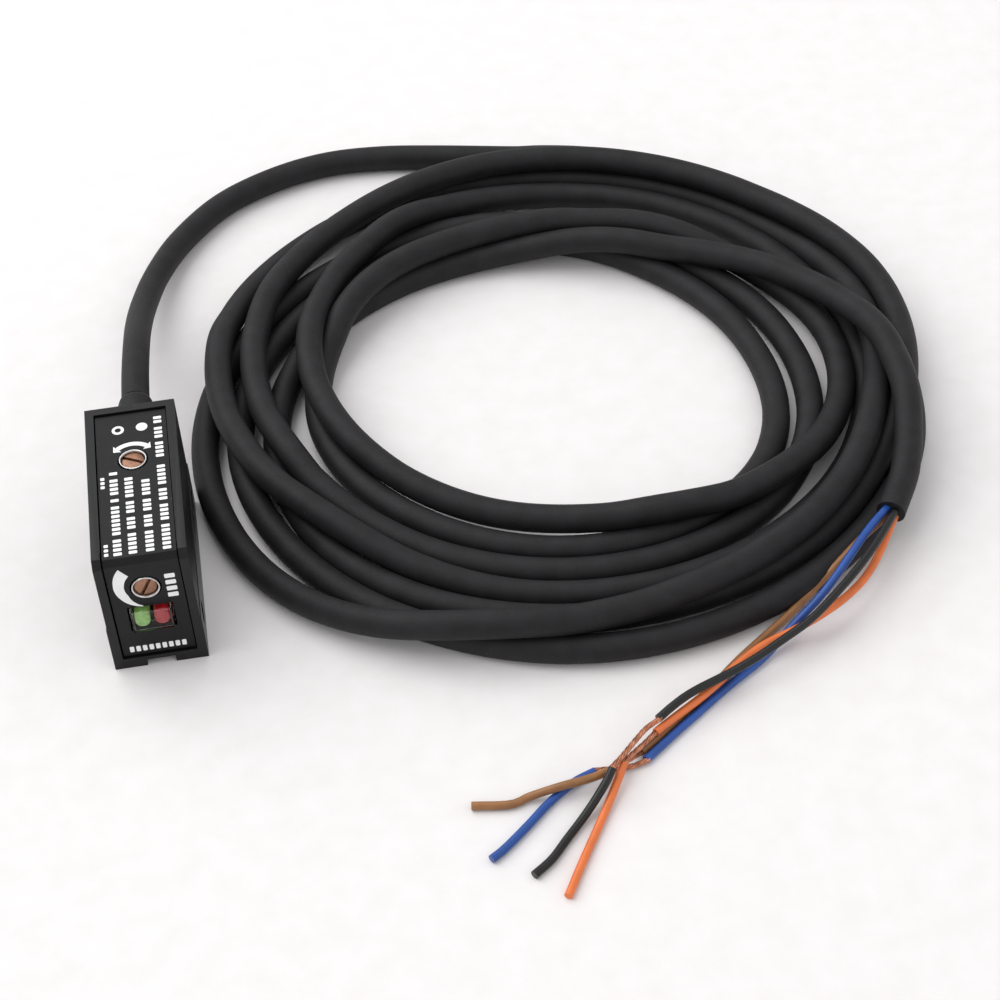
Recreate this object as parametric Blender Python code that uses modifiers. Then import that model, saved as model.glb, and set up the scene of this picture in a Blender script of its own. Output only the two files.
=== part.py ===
"""Miniature rectangular photoelectric sensor with a coiled four-core cable.

Frame: metres, +Z up. The sensor stands on its lens face (z = 0) with the label face up.
+Y points to the end that the cable leaves, and the adjuster end looks along -Y.
The origin is the centre of the sensor's footprint.
"""
import math

import bmesh
import bpy
from mathutils import Matrix, Vector

MM = 0.001

# Driving dimensions, in millimetres.
BODY_WIDTH = 12.4
BODY_LENGTH = 29.6
BODY_HEIGHT = 19.8
WINDOW_PROUD = 0.5
SHOULDER_HEIGHT = 7.6
SHOULDER_STEP = 0.12
WALL = 1.2
FIT = 0.3
RIM_WIDTH = 1.15
PANEL_INSET = 0.35
EDGE_CHAMFER = 1.0
CABLE_DIAMETER = 4.0
CABLE_EXIT_HEIGHT = 11.2
RELIEF_DIAMETER = 4.9
RELIEF_LENGTH = 10.0
WIRE_DIAMETER = 1.1
CORE_DIAMETER = 0.62
ADJUSTER_DIAMETER = 3.0
BEZEL_DIAMETER = 3.8
MOUNT_HOLE_DIAMETER = 3.2
MOUNT_HOLE_PITCH = 21.2
MOUNT_HOLE_HEIGHT = 4.2
LENS_SPACING = 9.2

# Places worked out from the driving dimensions. The window stands proud of the near end,
# so the body sits half of that off centre and the footprint's centre stays at the origin.
CENTRE_Y = WINDOW_PROUD / 2
NEAR = CENTRE_Y - BODY_LENGTH / 2
FAR = CENTRE_Y + BODY_LENGTH / 2
UPPER_WIDTH = BODY_WIDTH - 2 * SHOULDER_STEP
PANEL_HALF = UPPER_WIDTH / 2 - RIM_WIDTH - FIT / 2
PANEL_TOP = BODY_HEIGHT - PANEL_INSET
PANEL_FRONT = NEAR + PANEL_INSET
PANEL_THICKNESS = 1.3
PANEL_FOOT = 1.9
CAVITY_HALF = UPPER_WIDTH / 2 - WALL
FLOOR_TOP = 2.0
SELECTOR_Y = CENTRE_Y + 4.2
SELECTOR_SEAT = 17.0
TRIMMER_Z = 14.3
TRIMMER_SEAT = NEAR + 2.0
WINDOW_Z = 8.7
WINDOW_WIDTH = 6.0
WINDOW_HEIGHT = 4.4
DISPLAY_BOARD_Y = NEAR + 5.3
MAIN_BOARD_Z = 13.1
BOARD_THICKNESS = 0.8
RELIEF_END = FAR + RELIEF_LENGTH
CABLE_RADIUS = CABLE_DIAMETER / 2

# The coil lies on the table beside the sensor: a slightly oval ring of turns.
COIL_CENTRE = (60.5, 28.6)
COIL_OUTER = 51.5
COIL_INNER = 29.5
COIL_HEIGHT = 10.0
COIL_STRETCH = (0.97, 1.03)

# The uncoiled stretch from the strain relief to the coil's back edge.
LEAD_ROUTE = [
    (0.0, RELIEF_END + FIT, CABLE_EXIT_HEIGHT), (0.2, 31.5, 11.0), (0.5, 38.5, 9.9), (0.8, 46.0, 7.6),
    (1.7, 54.0, 5.2), (3.9, 63.0, 3.4), (8.1, 72.0, 2.4), (15.0, 80.1, 2.1), (23.4, 84.9, 2.1),
    (32.2, 87.3, 2.1), (41.2, 87.2, 2.1), (50.4, 85.4, 2.1), (58.6, 84.3, 2.1),
]

# The end of the cable leaves the top of the coil and stops where its jacket is cut.
TAIL_ROUTE = [(104.2, -1.8, 6.2), (103.2, -4.8, 6.1), (101.6, -8.4, 5.9), (99.3, -12.0, 5.6)]

# Routes of the four conductors, from the cut jacket to their stripped ends.
CONDUCTOR_ROUTES = {
    "blue": [(98.4, -12.1, 6.2), (95.2, -15.2, 6.2), (90.2, -20.7, 5.5), (86.4, -24.2, 4.3),
             (83.3, -25.6, 2.3), (80.4, -27.6, 1.2), (77.7, -29.9, 0.8), (74.0, -32.3, 0.6),
             (70.6, -34.7, 0.6), (67.5, -37.1, 0.6), (64.4, -39.4, 0.6), (61.8, -41.5, 0.6),
             (59.3, -43.4, 0.6)],
    "brown": [(98.4, -12.1, 4.8), (95.0, -14.6, 4.6), (91.1, -17.5, 3.6), (87.9, -19.6, 2.4),
              (83.6, -22.8, 1.4), (80.0, -25.3, 0.8), (77.2, -27.3, 0.6), (74.0, -29.8, 0.6),
              (71.2, -32.4, 0.6), (68.3, -34.9, 0.6), (65.0, -37.3, 0.6), (62.0, -39.8, 0.6),
              (59.0, -42.0, 0.6)],
    "black": [(99.4, -12.9, 6.2), (96.2, -17.1, 6.2), (92.7, -21.0, 6.0), (88.4, -24.9, 5.5),
              (84.1, -28.3, 4.9), (80.7, -30.0, 4.4), (75.9, -32.4, 3.8), (71.2, -34.1, 3.2),
              (68.0, -35.3, 3.2), (65.1, -36.7, 3.1), (61.8, -38.9, 2.7)],
    "orange": [(99.4, -12.9, 4.8), (96.9, -16.8, 4.2), (94.7, -19.8, 3.8), (92.8, -21.9, 3.6),
               (91.0, -23.3, 3.5), (88.9, -24.8, 3.4), (86.3, -26.1, 3.2), (83.8, -27.2, 2.9),
               (81.4, -27.9, 2.6), (78.2, -28.7, 2.2), (75.5, -30.2, 2.0), (73.0, -32.0, 2.0),
               (70.3, -34.2, 1.9), (67.7, -36.0, 1.8), (65.2, -37.6, 1.8), (62.6, -39.3, 1.8),
               (61.2, -40.3, 1.8)],
}

# Beyond each conductor lie its bare strands, then the part-pulled piece of insulation.
CORE_ROUTES = {
    "blue": [(58.9, -43.7, 0.6), (57.6, -44.0, 0.5), (55.7, -43.9, 0.4), (53.3, -43.9, 0.6)],
    "brown": [(58.6, -42.4, 0.7), (57.5, -43.2, 1.1), (56.2, -44.0, 1.2), (55.0, -44.5, 1.3)],
    "black": [(61.4, -39.3, 2.7), (59.9, -40.1, 2.5), (57.8, -42.3, 2.7), (55.9, -44.4, 2.9),
              (54.9, -45.3, 2.9)],
    "orange": [(60.7, -40.7, 1.8), (59.3, -41.9, 1.8), (57.9, -43.0, 1.9), (56.7, -44.1, 2.1)],
}
SLEEVE_ROUTES = {
    "blue": [(52.7, -44.0, 0.6), (49.6, -45.3, 0.6), (46.2, -47.8, 0.6), (43.1, -50.7, 0.6),
             (39.8, -53.6, 0.6), (37.9, -54.9, 0.6)],
    "brown": [(54.6, -44.8, 1.4), (51.8, -45.9, 1.8), (47.9, -46.5, 1.85), (44.1, -46.4, 0.7),
              (41.5, -47.1, 0.6), (36.7, -46.4, 0.6)],
    "black": [(54.6, -45.8, 2.9), (53.1, -47.8, 2.2), (50.4, -50.5, 0.9), (47.4, -53.7, 0.6),
              (45.1, -56.3, 0.6), (42.6, -58.2, 0.6)],
    "orange": [(56.3, -44.6, 2.1), (54.3, -47.9, 1.1), (51.5, -52.6, 0.6), (48.8, -57.2, 0.6),
               (46.1, -62.0, 0.6)],
}

COLOURS = {
    "case_black": ((0.022, 0.022, 0.024), 0.42, 0.0),
    "panel_black": ((0.018, 0.018, 0.020), 0.50, 0.0),
    "lens_red": ((0.16, 0.010, 0.012), 0.12, 0.0),
    "clear": ((0.86, 0.88, 0.88), 0.08, 0.0),
    "board_green": ((0.02, 0.14, 0.06), 0.45, 0.0),
    "chip_black": ((0.015, 0.015, 0.016), 0.40, 0.0),
    "tantalum": ((0.75, 0.42, 0.06), 0.40, 0.0),
    "tin": ((0.72, 0.72, 0.70), 0.28, 1.0),
    "brass": ((0.80, 0.46, 0.24), 0.30, 1.0),
    "led_green": ((0.35, 0.80, 0.20), 0.25, 0.0),
    "led_red": ((0.85, 0.04, 0.06), 0.25, 0.0),
    "cable_black": ((0.030, 0.030, 0.032), 0.60, 0.0),
    "copper": ((0.90, 0.42, 0.25), 0.32, 1.0),
    "blue": ((0.03, 0.33, 0.80), 0.40, 0.0),
    "brown": ((0.20, 0.07, 0.04), 0.42, 0.0),
    "black": ((0.03, 0.03, 0.035), 0.42, 0.0),
    "orange": ((0.90, 0.36, 0.07), 0.42, 0.0),
}


def clear_scene():
    for item in list(bpy.data.objects):
        bpy.data.objects.remove(item, do_unlink=True)


def collection(name):
    group = bpy.data.collections.new(name)
    bpy.context.scene.collection.children.link(group)
    return group


clear_scene()
PARTS = collection("photoelectric_sensor")
CUTTERS = collection("cutters")


def material(name):
    colour, roughness, metallic = COLOURS[name]
    made = bpy.data.materials.get(name) or bpy.data.materials.new(name)
    made.use_nodes = True
    shader = made.node_tree.nodes["Principled BSDF"]
    shader.inputs["Base Color"].default_value = (*colour, 1.0)
    shader.inputs["Roughness"].default_value = roughness
    shader.inputs["Metallic"].default_value = metallic
    return made


def metres(point):
    return Vector(point) * MM


def add(name, shape, finish, group=PARTS):
    """Turns a bmesh (in millimetres) into a named object in metres."""
    bmesh.ops.scale(shape, vec=(MM, MM, MM), verts=shape.verts)
    mesh = bpy.data.meshes.new(name)
    shape.to_mesh(mesh)
    shape.free()
    item = bpy.data.objects.new(name, mesh)
    group.objects.link(item)
    if finish:
        item.data.materials.append(material(finish))
    return item


def box_shape(low, high):
    shape = bmesh.new()
    bmesh.ops.create_cube(shape, size=1.0)
    size = [high[i] - low[i] for i in range(3)]
    middle = [(high[i] + low[i]) / 2 for i in range(3)]
    bmesh.ops.scale(shape, vec=size, verts=shape.verts)
    bmesh.ops.translate(shape, vec=middle, verts=shape.verts)
    return shape


def box(name, low, high, finish, bevel=0.0):
    item = add(name, box_shape(low, high), finish)
    if bevel:
        soften(item, bevel)
    return item


def cutter_box(name, low, high):
    return hide(add(name, box_shape(low, high), None, CUTTERS))


def rod_shape(radius, start, end, sides=32):
    """A round bar between two points."""
    start, end = Vector(start), Vector(end)
    axis = end - start
    shape = bmesh.new()
    bmesh.ops.create_cone(shape, cap_ends=True, segments=sides, radius1=radius, radius2=radius,
                          depth=axis.length)
    turn = Vector((0, 0, 1)).rotation_difference(axis).to_matrix().to_4x4()
    bmesh.ops.transform(shape, matrix=Matrix.Translation((start + end) / 2) @ turn, verts=shape.verts)
    return shape


def cutter_rod(name, radius, start, end, sides=32):
    return hide(add(name, rod_shape(radius, start, end, sides), None, CUTTERS))


def hide(item):
    item.hide_render = True
    item.display_type = "WIRE"
    return item


def soften(item, width, segments=2, angle=40):
    bevel = item.modifiers.new("Bevel", "BEVEL")
    bevel.width = width * MM
    bevel.segments = segments
    bevel.limit_method = "ANGLE"
    bevel.angle_limit = math.radians(angle)


def cut(item, *cutters, operation="DIFFERENCE"):
    for cutter in cutters:
        step = item.modifiers.new(operation.title(), "BOOLEAN")
        step.operation = operation
        step.solver = "EXACT"
        step.object = cutter


def smooth(item, angle=35):
    item.data.shade_smooth()
    item.data.set_sharp_from_angle(angle=math.radians(angle))


def turned(name, profile, finish, place=(0, 0, 0), axis="Z", steps=32, group=PARTS):
    """A turned piece: (radius, height) points down the outer side, turned about its axis."""
    shape = bmesh.new()
    line = [shape.verts.new((radius, 0.0, height)) for radius, height in profile]
    for first, second in zip(line, line[1:]):
        shape.edges.new((first, second))
    item = add(name, shape, finish, group)
    item.location = metres(place)
    if axis == "Y":
        item.rotation_euler = (math.radians(90), 0.0, 0.0)
    screw = item.modifiers.new("Screw", "SCREW")
    screw.steps = steps
    screw.render_steps = steps
    screw.use_merge_vertices = True
    screw.merge_threshold = 0.00001
    smooth(item)
    return item


def smooth_route(points, spacing):
    """Evenly spaced points on the Catmull-Rom curve through a route's own points."""
    route = [Vector(point) for point in points]
    route = [2 * route[0] - route[1]] + route + [2 * route[-1] - route[-2]]
    dense = []
    for index in range(1, len(route) - 2):
        before, start, end, after = route[index - 1:index + 3]
        for step in range(24):
            t = step / 24
            dense.append(0.5 * (2 * start + (end - before) * t
                                + (2 * before - 5 * start + 4 * end - after) * t ** 2
                                + (3 * start - before - 3 * end + after) * t ** 3))
    dense.append(route[-2])
    lengths = [0.0]
    for first, second in zip(dense, dense[1:]):
        lengths.append(lengths[-1] + (second - first).length)
    count = max(2, round(lengths[-1] / spacing))
    even = []
    place = 0
    for step in range(count + 1):
        target = lengths[-1] * step / count
        while place < len(lengths) - 2 and lengths[place + 1] < target:
            place += 1
        span = lengths[place + 1] - lengths[place]
        even.append(dense[place].lerp(dense[place + 1], (target - lengths[place]) / span))
    return even


def tube(name, points, radius, finish):
    """A round tube with closed ends along a POLY spline."""
    curve = bpy.data.curves.new(name, "CURVE")
    curve.dimensions = "3D"
    curve.bevel_depth = radius * MM
    curve.bevel_resolution = 2
    curve.use_fill_caps = True
    spline = curve.splines.new("POLY")
    spline.points.add(len(points) - 1)
    for node, point in zip(spline.points, points):
        node.co = (*metres(point), 1.0)
    item = bpy.data.objects.new(name, curve)
    PARTS.objects.link(item)
    curve.materials.append(material(finish))
    return item


# ---------------------------------------------------------------- case and covers

def make_case():
    """The moulded tray: floor, two sides, far end and the rim that frames the cover."""
    half = BODY_WIDTH / 2
    case = box("case", (-half, NEAR, 0), (half, FAR, BODY_HEIGHT), "case_black")
    upper = UPPER_WIDTH / 2
    for name, side in (("shoulder_left", -1), ("shoulder_right", 1)):
        low = (min(side * upper, side * (half + 1)), NEAR - 1, SHOULDER_HEIGHT)
        high = (max(side * upper, side * (half + 1)), FAR + 1, BODY_HEIGHT + 1)
        cut(case, cutter_box(name + "_cutter", low, high))
    chamfer = cutter_box("near_edge_cutter", (-half - 1, -2, -2), (half + 1, 2, 2))
    chamfer.rotation_euler = (math.radians(45), 0.0, 0.0)
    reach = 2 - EDGE_CHAMFER / math.sqrt(2)
    shift = reach / math.sqrt(2)
    chamfer.location = metres((0, NEAR - shift, BODY_HEIGHT + shift))
    cut(case, chamfer)
    cavity_near = NEAR + RIM_WIDTH
    cavity = cutter_box("cavity_cutter", (-CAVITY_HALF, cavity_near, FLOOR_TOP),
                        (CAVITY_HALF, FAR - WALL, BODY_HEIGHT + 1))
    seat_half = PANEL_HALF + FIT / 2
    end_seat = cutter_box("cover_end_cutter", (-seat_half, NEAR - 1, PANEL_FOOT - FIT / 2),
                          (seat_half, cavity_near + 1, BODY_HEIGHT + 1))
    cut(case, cavity, end_seat)
    cut(case, cutter_box("lens_window_cutter", (-4.0, CENTRE_Y - 8.2, -1), (4.0, CENTRE_Y + 8.2, 3)))
    cut(case, cutter_box("lens_seat_cutter", (-4.9, CENTRE_Y - 11.8, -1), (4.9, CENTRE_Y + 11.8, 1.3)))
    cut(case, cutter_box("drain_notch_cutter", (-1.9, NEAR - 1, -1), (1.9, NEAR + 1.7, 1.1)))
    cut(case, cutter_rod("cable_hole_cutter", RELIEF_DIAMETER / 2 + FIT,
                         (0, FAR - 3, CABLE_EXIT_HEIGHT), (0, FAR + 1, CABLE_EXIT_HEIGHT)))
    for name, side in (("near", -1), ("far", 1)):
        y = CENTRE_Y + side * MOUNT_HOLE_PITCH / 2
        boss = rod_shape(MOUNT_HOLE_DIAMETER / 2 + 0.7, (-half + 0.5, y, MOUNT_HOLE_HEIGHT),
                         (half - 0.5, y, MOUNT_HOLE_HEIGHT), 28)
        cut(case, hide(add("mount_boss_" + name, boss, None, CUTTERS)), operation="UNION")
        cut(case, cutter_rod("mount_hole_" + name, MOUNT_HOLE_DIAMETER / 2,
                             (-half - 1, y, MOUNT_HOLE_HEIGHT), (half + 1, y, MOUNT_HOLE_HEIGHT), 28))


def make_cover_panel():
    """The L-shaped cover: label face on top, adjuster face at the near end."""
    half = PANEL_HALF - FIT / 2
    top = box_shape((-half, PANEL_FRONT, PANEL_TOP - PANEL_THICKNESS),
                    (half, FAR - RIM_WIDTH - FIT / 2, PANEL_TOP))
    cover = add("cover_panel", top, "panel_black")
    near_plate = add("cover_end_plate", box_shape((-half, PANEL_FRONT, PANEL_FOOT + FIT / 2),
                     (half, PANEL_FRONT + PANEL_THICKNESS, PANEL_TOP - 0.2)), None, CUTTERS)
    cut(cover, hide(near_plate), operation="UNION")
    chamfer = cutter_box("cover_edge_cutter", (-half - 1, -2, -2), (half + 1, 2, 2))
    chamfer.rotation_euler = (math.radians(45), 0.0, 0.0)
    shift = (2 - 0.75 / math.sqrt(2)) / math.sqrt(2)
    chamfer.location = metres((0, PANEL_FRONT - shift, PANEL_TOP + shift))
    cut(cover, chamfer)
    hole = BEZEL_DIAMETER / 2 + 0.15
    cut(cover, cutter_rod("selector_hole_cutter", hole, (0, SELECTOR_Y, PANEL_TOP - 3),
                          (0, SELECTOR_Y, PANEL_TOP + 1)))
    cut(cover, cutter_rod("adjuster_hole_cutter", hole, (0, PANEL_FRONT - 1, TRIMMER_Z),
                          (0, PANEL_FRONT + 3, TRIMMER_Z)))
    cut(cover, cutter_box("indicator_cutter",
                          (-WINDOW_WIDTH / 2, PANEL_FRONT - 1, WINDOW_Z - WINDOW_HEIGHT / 2),
                          (WINDOW_WIDTH / 2, PANEL_FRONT + 3, WINDOW_Z + WINDOW_HEIGHT / 2)))


def make_lens_cover():
    """The tinted front window in the underside, just clear of the surface it stands on."""
    box("lens_cover", (-4.6, CENTRE_Y - 11.5, 0.15), (4.6, CENTRE_Y + 11.5, 1.0), "lens_red", 0.2)


def make_indicator_window():
    """A clear cap over the two indicators: a hollow prism, open at the back."""
    half_w = WINDOW_WIDTH / 2 - 0.15
    half_h = WINDOW_HEIGHT / 2 - 0.15
    front = NEAR - WINDOW_PROUD
    back = PANEL_FRONT + 1.2
    cap = box("indicator_window", (-half_w, front, WINDOW_Z - half_h),
              (half_w, back, WINDOW_Z + half_h), "clear")
    for corner in cap.data.vertices:
        if corner.co.y < NEAR * MM:
            corner.co.x *= 0.93
            corner.co.z = WINDOW_Z * MM + (corner.co.z - WINDOW_Z * MM) * 0.86
    cut(cap, cutter_box("indicator_hollow_cutter", (-half_w + 0.35, front + 0.4, WINDOW_Z - half_h + 0.4),
                        (half_w - 0.35, back + 1, WINDOW_Z + half_h - 0.4)))


# ---------------------------------------------------------------- optics

def make_optics():
    holder = box("optics_holder", (-4.1, CENTRE_Y - 7.9, 2.3), (4.1, CENTRE_Y + 7.9, 9.4), "chip_black")
    for name, side in (("emitter", -1), ("receiver", 1)):
        y = CENTRE_Y + side * LENS_SPACING / 2
        cut(holder, cutter_rod(name + "_bore_cutter", 3.3, (0, y, 1), (0, y, 5.2)))
        cut(holder, cutter_rod(name + "_cone_cutter", 2.2, (0, y, 4), (0, y, 11)))
        profile = [(0.0, 4.7), (1.0, 4.62), (1.9, 4.3), (2.6, 3.75), (3.0, 3.2), (3.0, 2.5), (0.0, 2.5)]
        turned(name + "_lens", profile, "clear", (0, y, 0), steps=24)
    y = CENTRE_Y - LENS_SPACING / 2
    turned("emitter_led", [(0.0, 12.7), (1.5, 12.7), (1.5, 11.2), (1.25, 10.4), (0.7, 9.85), (0.0, 9.7)],
           "clear", (0, y, 0), steps=20)
    y = CENTRE_Y + LENS_SPACING / 2
    box("photodiode", (-1.4, y - 1.4, 11.4), (1.4, y + 1.4, 12.7), "chip_black", 0.15)
    shield = box("receiver_shield", (-2.6, y - 2.6, 9.8), (2.6, y + 2.6, 12.6), "tin")
    cut(shield, cutter_box("shield_hollow_cutter", (-2.3, y - 2.3, 10.1), (2.3, y + 2.3, 13)))
    cut(shield, cutter_rod("shield_eye_cutter", 1.2, (0, y, 9), (0, y, 11), 20))


# ---------------------------------------------------------------- electronics

def make_boards():
    top = MAIN_BOARD_Z + BOARD_THICKNESS
    box("main_board", (-4.4, DISPLAY_BOARD_Y + 1.2, MAIN_BOARD_Z), (4.4, FAR - 6.6, top), "board_green")
    box("display_board", (-4.2, DISPLAY_BOARD_Y, 7.1), (4.2, DISPLAY_BOARD_Y + BOARD_THICKNESS, 17.4),
        "board_green")
    chip_low = top + 0.15
    box("signal_chip", (-3.9, CENTRE_Y - 5.6, chip_low), (0.1, CENTRE_Y - 1.0, chip_low + 1.1),
        "chip_black", 0.15)
    box("output_transistor", (1.2, CENTRE_Y - 5.4, chip_low), (3.8, CENTRE_Y - 2.4, chip_low + 1.2),
        "chip_black", 0.15)
    box("filter_capacitor", (1.2, CENTRE_Y - 1.6, chip_low), (3.2, CENTRE_Y + 0.8, chip_low + 1.6),
        "tantalum", 0.2)


def make_indicators():
    """Two square indicator lamps with rounded front ends, side by side behind the window."""
    for name, side, finish in (("green_led", -1, "led_green"), ("red_led", 1, "led_red")):
        low = (side * 1.28 - 1.02, NEAR + 0.1, WINDOW_Z - 1.35)
        high = (side * 1.28 + 1.02, DISPLAY_BOARD_Y - 0.3, WINDOW_Z + 1.35)
        box(name, low, high, finish, 0.5)


# ---------------------------------------------------------------- adjusters

def slotted_rotor(name, place, axis, height, slot_angle):
    """A screwdriver-turned rotor whose origin lies on its axis, at the foot of its shaft."""
    radius = ADJUSTER_DIAMETER / 2
    profile = [(0.0, height - 0.05), (radius * 0.6, height - 0.08), (radius - 0.2, height - 0.16),
               (radius, height - 0.36), (radius, height - 1.25), (0.8, height - 1.25), (0.8, 0.0), (0.0, 0.0)]
    rotor = turned(name, profile, "brass", place, axis)
    slot = cutter_box(name + "_slot_cutter", (-radius - 1, -0.24, height - 0.75), (radius + 1, 0.24, height + 1))
    slot.rotation_euler = (0.0, 0.0, math.radians(slot_angle))
    slot.parent = rotor
    cut(rotor, slot)


def bezel(name, place, axis, low, high):
    """The plated ring pressed into the cover round a rotor."""
    outer = BEZEL_DIAMETER / 2
    inner = ADJUSTER_DIAMETER / 2 + 0.15
    profile = [(inner, high - 0.12), (inner + 0.1, high), (outer - 0.1, high), (outer, high - 0.12),
               (outer, low), (inner, low), (inner, high - 0.12)]
    turned(name, profile, "tin", place, axis)


def make_adjusters():
    seat = SELECTOR_SEAT
    box("mode_switch_body", (-2.3, SELECTOR_Y - 2.3, MAIN_BOARD_Z + BOARD_THICKNESS + 0.15),
        (2.3, SELECTOR_Y + 2.3, seat - 0.3), "chip_black", 0.25)
    slotted_rotor("mode_selector", (0, SELECTOR_Y, seat), "Z", PANEL_TOP - seat - 0.05, -28)
    bezel("mode_bezel", (0, SELECTOR_Y, 0), "Z", PANEL_TOP - 1.0, PANEL_TOP + 0.22)
    reach = TRIMMER_SEAT - PANEL_FRONT
    box("trimmer_body", (-2.3, TRIMMER_SEAT + 0.3, TRIMMER_Z - 2.3),
        (2.3, DISPLAY_BOARD_Y - 0.3, TRIMMER_Z + 2.3), "chip_black", 0.25)
    slotted_rotor("sens_adjuster", (0, TRIMMER_SEAT, TRIMMER_Z), "Y", reach - 0.05, 62)
    bezel("sens_bezel", (0, PANEL_FRONT, TRIMMER_Z), "Y", -1.0, 0.22)


# ---------------------------------------------------------------- cable

def make_strain_relief():
    """Moulded collar: a flange inside the wall and a sleeve along the cable outside it."""
    radius = RELIEF_DIAMETER / 2
    flange = -WALL - 0.3
    profile = [(0.0, RELIEF_LENGTH), (radius - 0.4, RELIEF_LENGTH), (radius - 0.13, RELIEF_LENGTH - 0.2),
               (radius, RELIEF_LENGTH - 0.7), (radius + 0.05, 0.3), (radius, 0.0), (radius, flange),
               (3.3, flange), (3.3, flange - 1.3), (2.0, flange - 1.3), (2.0, flange - 2.4),
               (0.0, flange - 2.4)]
    relief = turned("strain_relief", profile, "cable_black", (0, FAR, CABLE_EXIT_HEIGHT), "Y")
    relief.rotation_euler = (math.radians(-90), 0.0, 0.0)


def make_inner_leads():
    """Short wire ends from the strain relief to the main board."""
    start_y = FAR - WALL - 0.3 - 2.4 - FIT
    for index, name in enumerate(("brown", "blue", "black", "orange")):
        across = (index - 1.5) * 1.5
        near_relief = (across * 0.45, start_y, CABLE_EXIT_HEIGHT + (0.9 if index % 2 else -0.9))
        points = [near_relief, (across * 0.7, start_y - 0.9, CABLE_EXIT_HEIGHT + 1.4),
                  (across, start_y - 1.6, MAIN_BOARD_Z + 2.4), (across, start_y - 3.0, MAIN_BOARD_Z + 1.9)]
        tube("inner_lead_" + name, smooth_route(points, 0.9), 0.4, name)


def make_cable():
    tube("cable_lead", smooth_route(LEAD_ROUTE, 5.0), CABLE_RADIUS, "cable_black")
    round_over = 2.2
    edge = round_over * 0.3
    profile = [(COIL_INNER, COIL_HEIGHT - round_over), (COIL_INNER + edge, COIL_HEIGHT - edge),
               (COIL_INNER + round_over, COIL_HEIGHT), (COIL_OUTER - round_over, COIL_HEIGHT),
               (COIL_OUTER - edge, COIL_HEIGHT - edge), (COIL_OUTER, COIL_HEIGHT - round_over),
               (COIL_OUTER, round_over), (COIL_OUTER - edge, edge), (COIL_OUTER - round_over, 0.0),
               (COIL_INNER + round_over, 0.0), (COIL_INNER + edge, edge), (COIL_INNER, round_over),
               (COIL_INNER, COIL_HEIGHT - round_over)]
    coil = turned("cable_coil", profile, "cable_black", (*COIL_CENTRE, 0), steps=48)
    coil.scale = (*COIL_STRETCH, 1.0)


def make_conductors():
    """Four insulated conductors, each with bare strands and a part-pulled sleeve."""
    tube("cable_tail", smooth_route(TAIL_ROUTE, 3.6), CABLE_RADIUS, "cable_black")
    for name, route in CONDUCTOR_ROUTES.items():
        tube("conductor_" + name, smooth_route(route, 2.8), WIRE_DIAMETER / 2, name)
        tube("core_" + name, smooth_route(CORE_ROUTES[name], 1.6), CORE_DIAMETER / 2, "copper")
        tube("sleeve_" + name, smooth_route(SLEEVE_ROUTES[name], 3.0), WIRE_DIAMETER / 2, name)


make_case()
make_cover_panel()
make_lens_cover()
make_indicator_window()
make_optics()
make_boards()
make_indicators()
make_adjusters()
make_strain_relief()
make_inner_leads()
make_cable()
make_conductors()
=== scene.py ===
"""Looks of the miniature photoelectric sensor with its coiled four-core cable.

Lengths are written in millimetres and turned into metres by MM. The frame is the CAD model's:
+Z up, the sensor on its lens face, the cable leaving towards +Y, the adjuster end towards -Y.
"""
import math

import bmesh
import bpy
import numpy as np
from mathutils import Matrix, Vector


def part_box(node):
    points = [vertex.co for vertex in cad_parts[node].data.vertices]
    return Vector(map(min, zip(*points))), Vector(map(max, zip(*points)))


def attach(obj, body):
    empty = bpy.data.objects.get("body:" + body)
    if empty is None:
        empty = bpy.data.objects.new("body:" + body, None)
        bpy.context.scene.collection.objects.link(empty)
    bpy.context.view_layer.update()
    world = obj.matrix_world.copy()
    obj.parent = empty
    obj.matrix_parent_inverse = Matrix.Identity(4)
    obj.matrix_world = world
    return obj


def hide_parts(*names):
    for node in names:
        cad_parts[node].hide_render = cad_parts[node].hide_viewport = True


MM = 0.001
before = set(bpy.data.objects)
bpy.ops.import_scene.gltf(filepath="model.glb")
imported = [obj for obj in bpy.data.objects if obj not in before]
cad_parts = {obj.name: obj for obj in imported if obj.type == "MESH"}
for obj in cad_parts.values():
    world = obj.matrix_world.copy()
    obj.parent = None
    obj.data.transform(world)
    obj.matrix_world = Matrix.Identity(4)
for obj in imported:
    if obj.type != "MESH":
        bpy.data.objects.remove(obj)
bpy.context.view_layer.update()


def node_box(name):
    """A CAD node's lowest and highest corner, in millimetres."""
    low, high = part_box(name)
    return [value / MM for value in low], [value / MM for value in high]


# Places taken from the CAD model, in millimetres.
PANEL_LOW, PANEL_HIGH = node_box("cover_panel")
SELECTOR_LOW, SELECTOR_HIGH = node_box("mode_selector")
ADJUSTER_LOW, ADJUSTER_HIGH = node_box("sens_adjuster")
RELIEF_END = node_box("strain_relief")[1][1]
PANEL_TOP = PANEL_HIGH[2]
PANEL_FRONT = PANEL_LOW[1]
SELECTOR_Y = (SELECTOR_LOW[1] + SELECTOR_HIGH[1]) / 2
ADJUSTER_Z = (ADJUSTER_LOW[2] + ADJUSTER_HIGH[2]) / 2

# The cable and its wires.
CABLE_DIAMETER = 4.0
WIRE_DIAMETER = 1.1
FIT = 0.3
TUCKED_IN = 1.2
COIL_CENTRE = (60.0, 28.0)
PLAN_SPACING = 2.4
JACKET_SPACING = 1.3
WIRE_SPACING = 0.9
WIRE_BLUR = 1.6

# The bare copper inside each conductor: fine strands round a middle one.
STRAND_COUNT = 7
STRAND_RADIUS = 0.125
STRAND_RING = 0.245
STRAND_PITCH = 5.5
STRAND_SPACING = 0.35

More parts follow.
